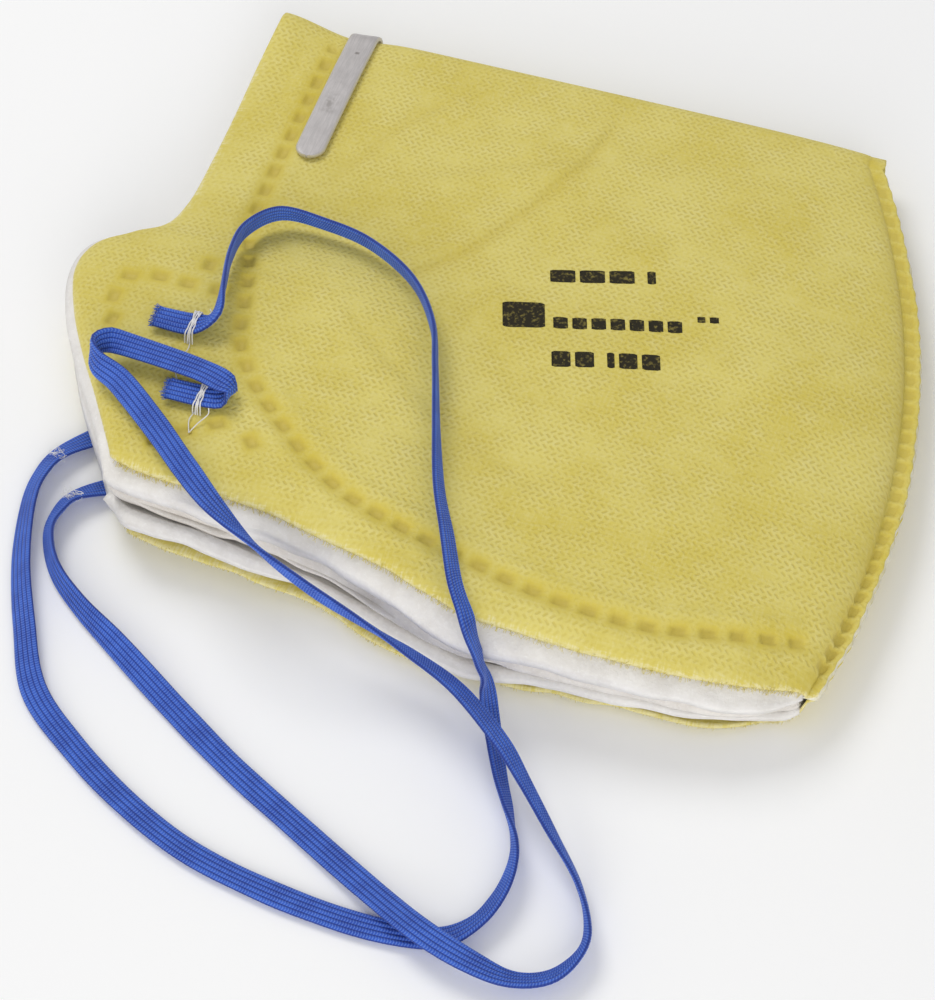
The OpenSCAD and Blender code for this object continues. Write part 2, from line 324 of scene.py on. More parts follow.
def ridge(u):
    return np.stack([mix(NOSE_X, front_x(FRONT_TOP), u), RIDGE_Y - u], -1)


def front(v):
    y = mix(FRONT_TOP, FRONT_END, v)
    return np.stack([front_x(y), y], -1)


def plan(u, v):
    a, b = u[..., None], v[..., None]
    zero, one = np.zeros(1), np.ones(1)
    corner_a, corner_b = ridge(zero)[0], ridge(one)[0]
    corner_c, corner_d = np.array(CHIN_EDGE[0], float), front(one)[0]
    return ((1 - b) * ridge(u) + b * spline(CHIN_EDGE, u) + (1 - a) * spline(NOSE_EDGE, v) + a * front(v)
            - (1 - b) * ((1 - a) * corner_a + a * corner_b) - b * ((1 - a) * corner_c + a * corner_d))


def offset_z(height, inset, u):
    share = np.sqrt(np.clip(1 - (u / SEAM_U) ** 8, 0, 1))
    return mix((INSIDE - inset) * 0.4 + 0.1, height - inset, share)


def swell(v):
    return 1 - (1 - v) ** 2.2


def upper_z(u, v, inset):
    nose_dip = 1 - 0.35 * (1 - u) ** 5 * (1 - v) - 0.1 * (1 - u) ** 4
    chin_dip = 1 - 0.42 * ramp((u - 0.45) / 0.6) * v
    return MID_Z + offset_z(FOLD_R + (GAPE - MID_Z - FOLD_R) * swell(v) * nose_dip * chin_dip, inset, u)


def lower_z(u, v, inset):
    lift = 2.8 * (1 - ramp((u - 0.2) / 0.16))
    return MID_Z - np.minimum(offset_z(FOLD_R + 9 * swell(v), inset, u), MID_Z - lift - inset)


def sheet_point(u, s, inset):
    """Point of the folded sheet: s runs from the lower chin edge, -1, round the ridge to the upper, 1."""
    a = np.abs(s)
    v = np.clip((a - FOLD_S) / (1 - FOLD_S), 0, 1)
    turn = math.pi / 2 * np.minimum(1, a / FOLD_S) * np.sign(s)
    p = plan(u, v)
    bent = a < FOLD_S
    y = np.where(bent, p[..., 1] + (FOLD_R - inset) * np.cos(turn), p[..., 1])
    z = np.where(bent, MID_Z + offset_z(FOLD_R, inset, u) * np.sin(turn),
                 np.where(s > 0, upper_z(u, v, inset), lower_z(u, v, inset)))
    return np.stack([p[..., 0], y, z], -1)


# ------------ welds, creases and folds
SEAM = [(-46.5, 56), (-46.5, 40), (-46.5, 28), (-46.5, 17), (-46.3, 8), (-45, 3), (-42, -6), (-40, -15),
        (-38.5, -20), (-34, -27), (-27, -34), (-20, -40), (-12, -45), (-2, -48.5), (12, -52), (22, -54),
        (33, -54.8), (42, -54), (51, -51.5), (61, -48), (66, -46)]
DASH_PITCH, DASH_LONG, DASH_WIDE = 4.7, 2.5, 1.8
# Dashes that box in the strap ends: x, y and direction in degrees
BOX_DASHES = [(-61, -11, 0), (-56, -10, 0), (-51, -10.3, 0), (-45.5, -10.5, 5), (-62, -16, 90),
              (-60.5, -21, 80),
              (-49, -5, 90), (-45, -43, 20), (-41, -40.5, 30), (-36.5, -37.5, 30), (-30, -39.5, 130)]
CREASES = [([(10, 57), (7, 51), (4, 38), (-1, 26), (-8, 13), (-16, 3)], 0.50, 1.5),
           ([(-37, 20), (-33, 28), (-29, 37), (-24, 45)], 0.28, 1.6),
           ([(-25, 26), (-8, 34), (6, 40)], 0.16, 2.2),
           ([(-20, -12), (-2, -26), (14, -34)], 0.14, 2.6)]


def along_line(points, pitch):
    """Points and directions spaced evenly along the curve through the points."""
    dense = spline(points, np.linspace(0, 1, 60 * len(points)))
    run = distance_along(dense)
    d = np.arange(pitch / 2, run[-1], pitch)
    p = np.stack([np.interp(d, run, dense[:, 0]), np.interp(d, run, dense[:, 1])], -1)
    q = np.stack([np.interp(d + 0.5, run, dense[:, 0]), np.interp(d + 0.5, run, dense[:, 1])], -1)
    return p, unit(q - p)


def line_distance(x, y, points):
    """Distance from a polyline, with its sign, and the distance along it."""
    best = np.full(x.shape, 1e9)
    signed, along, start = np.zeros(x.shape), np.zeros(x.shape), 0.0
    for (ax, ay), (bx, by) in zip(points[:-1], points[1:]):
        dx, dy = bx - ax, by - ay
        size = math.hypot(dx, dy)
        t = np.clip(((x - ax) * dx + (y - ay) * dy) / size**2, 0, 1)
        gap = np.hypot(x - ax - t * dx, y - ay - t * dy)
        side = np.sign((x - ax) * dy - (y - ay) * dx)
        near = gap < best
        best = np.where(near, gap, best)
        signed = np.where(near, gap * side, signed)
        along = np.where(near, start + t * size, along)
        start += size
    return best, signed, along


seam_at, seam_dir = along_line(SEAM, DASH_PITCH)
DASHES = [(p[0], p[1], d[0], d[1]) for p, d in zip(seam_at, seam_dir)]
DASHES += [(x, y, math.cos(math.radians(a)), math.sin(math.radians(a))) for x, y, a in BOX_DASHES]
SEAM_LINE = [tuple(p) for p in spline(SEAM, np.linspace(0, 1, 60))]


def weld_marks(x, y):
    """Dash mask, halo round the dashes, and the height of the channel and its puffed sides."""
    dash, halo = np.zeros(x.shape), np.zeros(x.shape)
    for px, py, dx, dy in DASHES:
        near = (np.abs(x - px) < 5) & (np.abs(y - py) < 5)
        rx, ry = x[near] - px, y[near] - py
        a, b = np.abs(rx * dx + ry * dy), np.abs(ry * dx - rx * dy)
        mark = ramp((DASH_LONG / 2 + 0.25 - a) / 0.6) * ramp((DASH_WIDE / 2 + 0.25 - b) / 0.6)
        dash[near] = np.maximum(dash[near], mark)
        past = np.maximum(a - DASH_LONG / 2, 0) ** 2 + np.maximum(b - DASH_WIDE / 2, 0) ** 2
        glow = np.exp(-(past / 1.3))
        halo[near] = np.maximum(halo[near], glow)
    gap, _, along = line_distance(x, y, SEAM_LINE)
    pulse = 0.65 + 0.35 * np.cos(2 * math.pi * (along / DASH_PITCH - 0.5))
    relief = -0.32 * np.exp(-(gap / 1.5) ** 2) + 0.22 * pulse * np.exp(-((gap - 2.9) / 1.1) ** 2)
    return dash, np.maximum(halo, 0.55 * np.exp(-(gap / 1.6) ** 2)), relief


def front_marks(x, y):
    """Small squares pressed along the front weld, and the deeper colour round them."""
    back = front_x(y) - x
    step_y = (y + 200) / FRONT_PITCH
    cell = np.abs(step_y - np.floor(step_y) - 0.5) * FRONT_PITCH
    inside = ramp((FRONT_TOP - 1.5 - y) / 2) * ramp((y - FRONT_END - 2.5) / 2)
    dash = ramp((1.25 - cell) / 0.5) * ramp((0.95 - np.abs(back - 1.7)) / 0.45) * inside
    return dash, np.exp(-((back - 1.7) / 1.6) ** 2) * (0.3 + 0.6 * ramp((1.35 - cell) / 0.5))


def ridge_dip(x, v):
    """How far the ridge sags back beside the nose strip, in millimetres along Y."""
    return -1.1 * np.exp(-((x + 44) / 6) ** 2) * np.exp(-(v * REACH_V / 5) ** 2)


def soft_relief(x, y, half):
    """Loose unevenness and creases of the cloth, in millimetres outwards, and the painted shade that darkens
    the creases.
    """
    height = -0.22 + 0.30 * noise(x, y, 17, 3 + half) + 0.13 * noise(x, y, 6.5, 5 + half)
    tone = np.zeros(x.shape)
    if half > 0:
        for points, depth, wide in CREASES:
            gap, signed, along = line_distance(x, y, points)
            fade = np.exp(-(np.maximum(gap - 6, 0)) ** 2 / 8)
            height += depth * fade * (0.8 * np.exp(-((signed - wide * 1.3) / (wide * 1.3)) ** 2)
                                      - np.exp(-(signed / (wide * 0.55)) ** 2))
            # tone is painted shade along the middle of each crease
            tone = np.maximum(tone, depth * 2 * np.exp(-(gap / wide) ** 2))
        by_strip = ramp((9 - np.abs(x - STRIP_X)) / 5) * ramp((y - 18) / 6)
        height = height * (1 - by_strip) - 0.06 * by_strip
    else:
        height = np.minimum(height, -0.02)
    return height, tone


# ------------ layers
# inset and thick are millimetres from the outside, press is how much of a dash shows on the outer and
# inner face, and fluff is how much thicker the cut edges are
LAYERS = {
    "cover": dict(inset=0.0, thick=0.6, slot="yellow_cover", press=(0.55, 0.5), fluff=0.25),
    "filter": dict(inset=0.85, thick=1.2, slot="white_filter", press=(0.45, 0.1), fluff=1.15),
    "lining": dict(inset=2.3, thick=0.5, slot="white_lining", press=(0.0, -0.15), fluff=1.5),
}
# For each layer and half: how far its chin edge stands out, in millimetres, and how far it curls into the
# opening, as a share of it; then the same two at the nose edge
EDGES = {
    ("cover", 1): (0.3, 0.07, 0.7, 0.12), ("filter", 1): (1.9, 0.36, 0.3, 0.24),
    ("lining", 1): (1.7, 0.58, -0.3, 0.44), ("lining", -1): (1.6, 0.40, -0.3, 0.24),
    ("filter", -1): (1.4, 0.23, 0.3, 0.10), ("cover", -1): (0.7, 0.03, 0.5, 0.04),
}


def spaced(count, both_ends):
    """0 to 1 in steps that shrink towards the high end, or towards both ends."""
    t = np.linspace(0, 1, count)
    if both_ends:
        return 0.6 * t + 0.4 * (0.5 - 0.5 * np.cos(math.pi * t))
    return 1 - (1 - t) ** 1.45


def layer_grid(kind, half, columns, rows):
    """Outer and inner face, flat coordinates and marks of one half of a layer."""
    info, edge = LAYERS[kind], EDGES[kind, half]
    u = (0.999 if kind == "cover" else SEAM_U - 0.012) * spaced(columns, True)
    v = spaced(rows, False)
    if kind == "cover":
        v = mix(np.linspace(0, 1, rows), v, 0.25)
    body = FOLD_S + v * (1 - FOLD_S)
    bend = np.linspace(-FOLD_S, FOLD_S, 15)[:-1] if half > 0 else []
    s = np.concatenate([bend, body]) if half > 0 else -body
    U, S = np.meshgrid(u, s, indexing="ij")
    V = np.clip((np.abs(S) - FOLD_S) / (1 - FOLD_S), 0, 1)
    middle = sheet_point(U, S, info["inset"] + info["thick"] / 2)
    outward = sheet_point(U, S, info["inset"]) - middle
    middle[..., 0] += 2.0 * V * ramp((U - 0.9) / 0.09)
    middle[..., 1] += ridge_dip(middle[..., 0], V)
    corner = np.exp(-(U * REACH_U / 7.5) ** 2 - (V * REACH_V / 10) ** 2)
    middle[..., 2] += 2.2 * corner * ramp((S + FOLD_S) / (2 * FOLD_S))
    x, y = middle[..., 0].copy(), middle[..., 1].copy()

    # free edges: the distance to them, which way is out, and how the layer curls there
    chin, nose = spline(CHIN_EDGE, u), spline(NOSE_EDGE, V[0])
    to_chin, to_nose = (1 - V) * REACH_V, U * REACH_U
    chin_way = unit(np.gradient(chin, axis=0))
    chin_way = np.stack([chin_way[:, 1], -chin_way[:, 0]], -1)
    nose_way = unit(np.gradient(nose, axis=0))
    nose_way = np.stack([nose_way[:, 1], -nose_way[:, 0]], -1)
    seed = 20 + 7 * list(LAYERS).index(kind) + 3 * half
    run = distance_along(chin)
    wave = noise(run, 0 * run, 13, seed) + 0.5 * noise(run, 0 * run, 5, seed + 1)
    uneven = 0.4 if kind == "lining" else 1.0
    curl = 1 + uneven * (0.26 * noise(run, 0 * run, 16, seed + 2) + 0.10 * noise(run, 0 * run, 6, seed + 3))
    gap = upper_z(U, V, INSIDE) - lower_z(U, V, INSIDE)
    near_front = ramp((0.97 - u) / 0.07)
    ragged = 0.42 if kind == "cover" and half > 0 else 0.5
    at_tab = ramp((0.36 - u) / 0.14) * ramp(u / 0.05)
    tab_reach = (0.0 if half > 0 else {"cover": 3.4, "filter": 2.4, "lining": 0.8}[kind]) * at_tab
    if half < 0:
        tab_reach = tab_reach - 1.7 * ramp((chin[:, 0] - 12) / 16)
    if kind == "cover" and half < 0:
        tab_reach = (tab_reach + 2.6 * np.exp(-((chin[:, 0] + 4) / 13) ** 2)
                     + 0.8 * np.exp(-((chin[:, 0] - 52) / 7) ** 2))
    chin_out = (edge[0] + tab_reach + ragged * wave) * near_front
    at_chin = np.exp(-to_chin / 2.2)
    at_nose = np.exp(-to_nose / 2.0)
    tab = ramp((V[0] - 0.42) / 0.12)
    tab_out = {"cover": -2.0 if half > 0 else -1.2, "filter": -1.2, "lining": -1.2}[kind] * tab
    wave_n = noise(V[0] * 110, 0 * V[0], 12, seed + 4)
    nose_out = edge[2] + tab_out + 0.25 * wave_n
    fold_fade = ramp((np.abs(S) - FOLD_S) / 0.1)
    move = chin_way[:, None] * (chin_out[:, None] * at_chin)[..., None]
    move = move + nose_way[None] * (nose_out[None] * at_nose * fold_fade)[..., None]
    middle[..., :2] += move
    fill = {"cover": 0.0, "filter": 0.12, "lining": 0.08}[kind] * at_tab[:, None] * at_chin
    droop = gap * (edge[1] * curl[:, None] * at_chin + fill * (half < 0)
                   + edge[3] * at_nose * fold_fade * (1 - at_chin))
    if kind == "cover":
        droop = droop + 0.5 * (np.exp(-to_chin / 0.8) + np.exp(-to_nose / 0.9) * fold_fade)
    middle[..., 2] -= half * droop
    near_rim = ramp((U - 0.972) / 0.02)
    rim_wave = 0.16 * noise(y, 0 * y, 7, 71) + 0.12 * np.cos(2 * math.pi * y / FRONT_PITCH)
    middle[..., 0] += near_rim * rim_wave

    dash, halo, weld = weld_marks(x, y)
    soft, tone = soft_relief(x, y, half)
    fade = fold_fade * ramp((0.965 - U) / 0.05)
    mark_fade = ramp((np.abs(S) - FOLD_S) / 0.03) * ramp((0.965 - U) / 0.05)
    dash, halo = dash * mark_fade, halo * mark_fade
    height = (weld + soft) * fade
    middle[..., 2] += half * height
    normal = unit(np.cross(np.gradient(middle, axis=0), np.gradient(middle, axis=1)))
    if (normal * outward).sum() < 0:
        normal = -normal
    free = np.maximum(np.exp(-to_chin / 1.2), np.exp(-to_nose / 1.2) * fold_fade)
    squeeze = 0.45 + 0.55 * np.sqrt(np.clip(1 - (U / SEAM_U) ** 8, 0, 1))
    puff = np.clip(1 + 0.6 * wave[:, None], 0.2, 2)
    thick = info["thick"] / 2 * squeeze * (1 + info["fluff"] * free * puff)
    front_dash, front_halo = front_marks(x, y) if kind == "cover" else (0 * dash, 0 * dash)
    outer = middle + normal * (thick - info["press"][0] * dash - 0.34 * front_dash)[..., None]
    inner = middle - normal * (thick + info["press"][1] * dash)[..., None]
    dash, halo = np.maximum(dash, 0.8 * front_dash), np.maximum(halo, front_halo)
    if half < 0:
        outer[..., 2] = np.maximum(outer[..., 2], 0.03)
    turn = math.pi / 2 * np.minimum(1, np.abs(S) / FOLD_S) * np.sign(S)
    flat_y = ridge(U)[..., 1] - np.sign(S) * (ridge(U)[..., 1] - y) * (np.abs(S) > FOLD_S) - FOLD_R * turn
    # tone carries the painted shade of the creases
    marks = dict(dash=dash, halo=halo, edge=free, tone=tone * fade)
    return outer, inner, np.stack([x, flat_y], -1), marks


def slab_piece(name, outer, inner, material, uv=None, marks=None, butt_first_row=True, round_by=0.9):
    """Closed sheet between two grids, with soft rounded rims; the first row may butt against a twin."""
    m, n = outer.shape[:2]
    i, j = rim_walk(m, n)
    middle = (outer + inner) / 2
    ii, jj = np.clip(i, 1, m - 2), np.clip(j, 1, n - 2)
    away = unit(middle[i, j] - middle[ii, jj])
    half = np.linalg.norm(outer[i, j] - inner[i, j], axis=1) / 2
    flat = (j == 0) & butt_first_row
    ring = middle[i, j] + away * (half * round_by * ~flat)[:, None]
    top, low = i * n + j, m * n + i * n + j
    rim = 2 * m * n + np.arange(len(i))
    faces = [grid_faces(m, n), grid_faces(m, n, start=m * n)[:, ::-1]]
    for a, b in ((top, rim), (rim, low)):
        faces.append(np.stack([a, b, np.roll(b, -1), np.roll(a, -1)], -1))
    verts = np.concatenate([outer.reshape(-1, 3), inner.reshape(-1, 3), ring])
    faces = np.concatenate(faces)

    def pick(grid):
        """Values of a grid for the outer points, the inner points and the rim."""
        every = grid.reshape(m * n, -1)
        return np.concatenate([every, every, grid[i, j].reshape(len(i), -1)])

    sharp = np.zeros(len(verts), bool)
    if butt_first_row:
        sharp[top[j == 0]] = True
        sharp[low[j == 0]] = True
    values = {key: pick(value)[:, 0] for key, value in (marks or {}).items()}
    flat_uv = None if uv is None else pick(uv)
    return make_mesh(name, verts, faces, material, sharp=sharp, uv=flat_uv, values=values)


def lifts(piece):
    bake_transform(piece)


def seat(piece, body, slot, *nodes):
    """Fix a piece to a body, or bake its place into its points (body None), and hide the parts that it
    stands for; slot is not used.
    """
    if body:
        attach(piece, body)
    else:
        lifts(piece)
    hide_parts(*nodes)


def cover_material():
    n = Nodes("yellow_cover")
    flat = n.flat()
    flat_x, flat_y = n.add("SeparateXYZ", {0: flat}).outputs[:2]
    pitch = 1.2
    y = n.math("DIVIDE", flat_y, pitch * 0.9)
    cell_y = n.math("FLOOR", y)
    odd = n.math("MODULO", n.math("ABSOLUTE", cell_y), 2.0)
    x = n.plus(n.math("DIVIDE", flat_x, pitch), n.times(odd, 0.5))
    cell_x = n.math("FLOOR", x)
    turn = n.minus(n.times(odd, 2.0), 1.0)
    fx = n.minus(n.minus(x, cell_x), 0.5)
    fy = n.minus(n.minus(y, cell_y), 0.5)
    slant = n.times(fx, turn)
    off = n.math("ABSOLUTE", n.minus(slant, fy))
    run = n.math("ABSOLUTE", n.plus(slant, fy))
    tick = n.times(n.step(off, 0.36, 0.10), n.step(run, 0.78, 0.36))
    place = n.add("Mapping", {0: flat, 3: (0.001, 0.001, 0.001)}).outputs[0]
    patch = n.noise(place, 55, 3.0)
    cloud = n.noise(place, 210, 4.0, 0.6)
    fibre = n.noise(place, 2600, 3.0, 0.6, stretch=(1.0, 0.18, 1.0))
    fibre_2 = n.noise(place, 2600, 3.0, 0.6, stretch=(0.18, 1.0, 1.0))
    grain = n.times(n.plus(fibre, fibre_2), 0.5)
    dash, halo, edge, tone = (n.attribute(k) for k in ("dash", "halo", "edge", "tone"))
    shy = n.minus(1.0, n.math("MAXIMUM", halo, edge), clamp=True)
    tick = n.times(tick, n.times(shy, n.step(cloud, 0.25, 0.6)))
    colour = n.blend(n.step(patch, 0.35, 0.68), linear(223, 209, 116), linear(214, 197, 92))
    colour = n.tint(colour, n.step(cloud, 0.45, 0.8), 0.5, 228, 216, 140)
    colour = n.tint(colour, n.step(grain, 0.42, 0.66), 0.35, 232, 222, 158)
    colour = n.tint(colour, tick, 0.42, 190, 166, 48)
    # painted shade along the creases
    colour = n.tint(colour, tone, 0.35, 205, 186, 84)
    colour = n.tint(colour, halo, 0.6, 208, 186, 56)
    colour = n.tint(colour, dash, 0.7, 200, 181, 84)
    frayed = n.step(n.plus(edge, n.times(n.minus(grain, 0.5), 2.6)), 0.62, 1.15)
    colour = n.tint(colour, frayed, 0.6, 236, 228, 182)
    height = n.minus(n.times(grain, 0.35), n.times(tick, 0.55))
    rough = n.minus(0.88, n.times(dash, 0.35))
    fine = n.bump(height, 0.00016, 0.85)
    return n.finish(Base_Color=colour, Roughness=rough, Sheen_Weight=0.12, Sheen_Roughness=0.5,
                    Specular_IOR_Level=0.28, Normal=n.bump(cloud, 0.0005, 0.5, under=fine))


def white_material(name, light, shade, rough_scale):
    n = Nodes(name)
    place = n.add("Mapping", {0: n.flat(), 3: (0.001, 0.001, 0.001)}).outputs[0]
    solid = n.solid()
    cloud = n.noise(solid, 240, 4.0, 0.6)
    fibre = n.noise(solid, rough_scale, 4.0, 0.65)
    pull = n.noise(place, 1500, 3.0, 0.6, stretch=(1.0, 0.15, 1.0))
    colour = n.blend(n.step(cloud, 0.3, 0.75), linear(*light), linear(*shade))
    colour = n.tint(colour, n.step(fibre, 0.5, 0.75), 0.35, 252, 251, 249)
    height = n.plus(n.times(fibre, 0.7), n.times(pull, 0.4))
    fine = n.bump(height, 0.00022, 0.9)
    return n.finish(Base_Color=colour, Roughness=0.92, Sheen_Weight=0.2, Sheen_Roughness=0.5,
                    Specular_IOR_Level=0.2, Normal=n.bump(cloud, 0.0006, 0.5, under=fine))


YELLOW = cover_material()
WHITE = white_material("white_filter", (238, 235, 231), (226, 222, 217), 1600)
LINING = white_material("white_lining", (232, 227, 220), (216, 210, 202), 2200)
LAYER_MATERIAL = {"cover": YELLOW, "filter": WHITE, "lining": LINING}
LAYER_NODES = {"cover": ("outer_cover", "cheek_cover"), "filter": ("filter_layer", "cheek_filter"),
               "lining": ("inner_lining", "cheek_lining")}
HALF_NAME = {1: "upper", -1: "lower"}
HALF_BODY = {1: None, -1: "mask_base"}
# Columns and rows of the grids that show most; the others have OTHER_SIZE
LAYER_SIZE = {("cover", 1): (270, 225), ("cover", -1): (180, 150)}
OTHER_SIZE = (130, 76)


def half_nodes(nodes, half):
    """The upper half stands for both nodes, the lower half only for the first."""
    return nodes if half > 0 else nodes[:1]


chin_line = {}
for kind, info in LAYERS.items():
    for half in (1, -1):
        columns, rows = LAYER_SIZE.get((kind, half), OTHER_SIZE)
        outer, inner, flat_uv, marks = layer_grid(kind, half, columns, rows)
        piece = slab_piece(f"{kind}_{HALF_NAME[half]}_half", outer, inner, LAYER_MATERIAL[kind],
                           flat_uv, marks)
        chin_line[kind, half] = ((outer + inner) / 2)[:, -1]
        if kind == "cover" and half > 0:
            upper_cover = piece
        seat(piece, HALF_BODY[half], info["slot"], *half_nodes(LAYER_NODES[kind], half))


# ------------ straps
RIBS = 5
STRAP_W, STRAP_T = 4.3, 1.0
# Routes as x, y, z and roll: 0 lies flat, 90 stands on edge
STRAP_1 = [
    (-53, -20, 19.9, 0), (-46.6, -20, 20.1, 0), (-43.4, -18.3, 21.3, 50), (-43.8, -13, 21.8, 80),
    (-45.3, -5, 20.8, 84), (-45, 2, 19.8, 84), (-40.8, 7.6, 19, 80), (-33, 7.5, 19, 76),
    (-24, 5, 19.6, 77), (-14.7, -1.5, 20.8, 81), (-8.7, -10, 21.6, 88), (-5.5, -19, 22.1, 86),
    (-1.8, -30.6, 22.5, 80), (2, -41.7, 22.6, 69), (5.8, -50, 22.7, 60), (9.6, -58.5, 22.8, 54),
    (12.6, -62.8, 21, 46), (14, -64.4, 18.2, 42), (15.6, -65.4, 13.6, 40), (17, -66.2, 8, 42),
    (18.5, -68.9, 4.5, 46), (22.6, -77.8, 2.6, 57), (25.5, -83.4, 2.7, 68), (28.2, -89, 2.7, 96),
    (29, -93.6, 2.7, 114), (28.5, -98.5, 2.5, 128), (26.5, -103.4, 2.1, 140), (22.3, -107, 1.2, 163),
    (16, -108.2, 0.8, 174), (6, -108.2, 0.7, 177), (-7, -106.6, 0.7, 176), (-20, -103.5, 0.7, 176),
    (-32, -98, 0.7, 178), (-43, -91, 0.7, 184), (-52.4, -83.2, 1.2, 196), (-58.1, -72.4, 1.8, 210),
    (-63, -61, 2.1, 220), (-65.9, -50, 2.2, 228), (-66.1, -43.4, 2.1, 222), (-64.2, -38, 1.8, 209),
    (-57.5, -30.5, 1.2, 184), (-46, -17.5, 1.15, 180)]
STRAP_2 = [
    (-46, -33.8, 20.3, 0), (-40, -33.8, 20.4, 0), (-36.9, -33.2, 20.6, 0), (-35.6, -32.5, 21.6, 90),
    (-36.9, -31.8, 22.6, 180), (-42.7, -30, 22.2, 180), (-55.3, -28.4, 21.9, 195),
    (-58.4, -28.8, 22.2, 235), (-59.8, -30.8, 22.4, 270), (-58, -33.6, 22.2, 305),
    (-53.2, -36, 21.8, 332), (-45, -42.4, 21.3, 345), (-37.6, -49, 21.3, 356), (-30.8, -54.4, 20.7, 384),
    (-22.6, -58.4, 18.2, 425), (-13.6, -60.9, 14.6, 438), (-4.6, -62.8, 11.8, 430),
    (4.3, -65.2, 10.2, 408), (13.4, -69.5, 10.2, 398), (22.2, -76.1, 9.3, 398), (27.4, -80.6, 6.6, 410),
    (33.4, -86.5, 4, 420), (39.2, -92.8, 2.8, 434), (42.5, -99, 2.7, 452), (43, -104, 2.7, 474),
    (40, -109.2, 2.4, 500), (34.6, -111.4, 2.3, 510), (28.1, -111.2, 3.7, 530), (19, -108.4, 4.2, 540),
    (8, -102, 1.7, 540), (-6.2, -94, 0.7, 540), (-18.2, -87.4, 0.7, 542), (-30.2, -79.9, 1, 552),
    (-42.4, -72, 1.9, 582), (-50.8, -66.6, 2.2, 603), (-57, -61.2, 2.3, 610), (-60.5, -55, 2.3, 606),
    (-60.7, -50.2, 2.2, 590), (-58.7, -45.7, 1.9, 576), (-50.5, -40, 1.2, 544), (-39, -32.5, 1.15, 540)]


def strap_line(route, step=0.9):
    """Even rings along a route: centres, direction, flat and face vectors, and distance along."""
    dense = spline(route, np.linspace(0, 1, 60 * len(route)))
    run = distance_along(dense[:, :3])
    count = int(run[-1] / step) + 1
    d = np.linspace(0, run[-1], count)
    ring = np.stack([np.interp(d, run, dense[:, k]) for k in range(4)], -1)
    along = unit(np.gradient(ring[:, :3], axis=0))
    side = unit(np.cross(along, [0, 0, 1.0]))
    up = np.cross(side, along)
    roll = np.radians(ring[:, 3])[:, None]
    return (ring[:, :3], along, side * np.cos(roll) + up * np.sin(roll),
            up * np.cos(roll) - side * np.sin(roll), d)


def make_strap(name, route, seed, material):
    centre, along, flat, face, d = strap_line(route)
    k = 41
    c = np.sin(np.linspace(-0.5, 0.5, k) * math.pi) * 0.35 + np.linspace(-1, 1, k) * 0.65
    thick = STRAP_T / 2 * np.sqrt(np.clip(1 - np.abs(c) ** 5, 0, 1))
    ribs = 0.5 + 0.5 * np.cos(2 * math.pi * RIBS * (c + 1) / 2)
    height = thick * (1 - 0.40 * ribs * (1 - np.abs(c) ** 8))
    across = np.concatenate([c, c[::-1][1:-1]])
    lift = np.concatenate([height, -height[::-1][1:-1]])
    width = STRAP_W / 2 * (1 + 0.03 * noise(d, 0 * d, 7, seed))
    verts = (centre[:, None] + flat[:, None] * (width[:, None] * across[None])[..., None]
             + face[:, None] * lift[None, :, None])
    n = len(across)
    tips = [centre[:1] - along[:1] * 0.1, centre[-1:] + along[-1:] * 0.1]
    verts = np.concatenate([verts.reshape(-1, 3), *tips])
    uv = np.stack([np.broadcast_to((across + 1) / 2, (len(d), n)).ravel(),
                   np.broadcast_to(d[:, None], (len(d), n)).ravel()], -1)
    uv = np.concatenate([uv, [[0.5, 0], [0.5, d[-1]]]])
    piece = make_mesh(name, verts, tube_faces(len(d), n), material, uv=uv)
    return piece, centre, d[-1]


def make_fray(name, route, seed, material):
    """Short loose fibres at a strap's cut end."""
    luck = np.random.RandomState(seed)
    centre, along, flat, face, _ = strap_line(route)
    parts = []
    for _ in range(110):
        side, lift = luck.uniform(-0.48, 0.48) * STRAP_W, luck.uniform(-0.4, 0.45)
        root = centre[0] + flat[0] * side + face[0] * lift + along[0] * 0.5
        way = unit(-along[0] + 0.35 * luck.randn() * flat[0] + 0.25 * luck.randn() * face[0])
        size = luck.uniform(0.7, 1.5)
        bend = 0.25 * luck.randn(3)
        t = np.linspace(0, 1, 5)[:, None]
        parts.append(tube(root + way * size * t + bend * t**2 * 0.5, 0.045, 5))
    verts, faces = join(parts)
    verts[:, 2] = np.maximum(verts[:, 2], centre[0][2] - 0.5)
    return make_mesh(name, verts, faces, material, uv=np.column_stack([verts[:, 1] * 0 + 0.45, verts[:, 0]]))


BLUE = strap_material()
for number, route in ((1, STRAP_1), (2, STRAP_2)):
    fray = make_fray(f"strap_{number}_fray", route, 30 + number, BLUE)
    seat(fray, "upper_cheek", "strap_blue", f"upper_strap_{number}_run")
    piece, centre, length = make_strap(f"strap_{number}", route, 10 + number, BLUE)
    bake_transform(piece)
    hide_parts(f"upper_strap_{number}_run", f"strap_{number}_loop")


# ------------ loose fibres on the cut edges
def fibre_rim(name, line, way, seed, material, count, length, spread):
    """Fine loose fibres standing out from a cut edge."""
    luck = np.random.RandomState(seed)
    parts = []
    last = len(line) - 1
    for _ in range(count):
        t = luck.uniform(0.02, 0.95) * last
        i = int(t)
        root = mix(line[i], line[i + 1], t - i) - 0.3 * np.array(way)
        aim = unit(np.array(way) + spread * luck.randn(3))
        size = length * luck.uniform(0.5, 1.4)
        bow = luck.randn(3) * size * 0.35
        f = np.linspace(0, 1, 6)[:, None]
        parts.append(tube(root + aim * size * f + bow * f * (1 - f) * 1.6, 0.034, 4))
    verts, faces = join(parts)
    verts[:, 2] = np.maximum(verts[:, 2], 0.04)
    return make_mesh(name, verts, faces, material, uv=verts[:, :2])


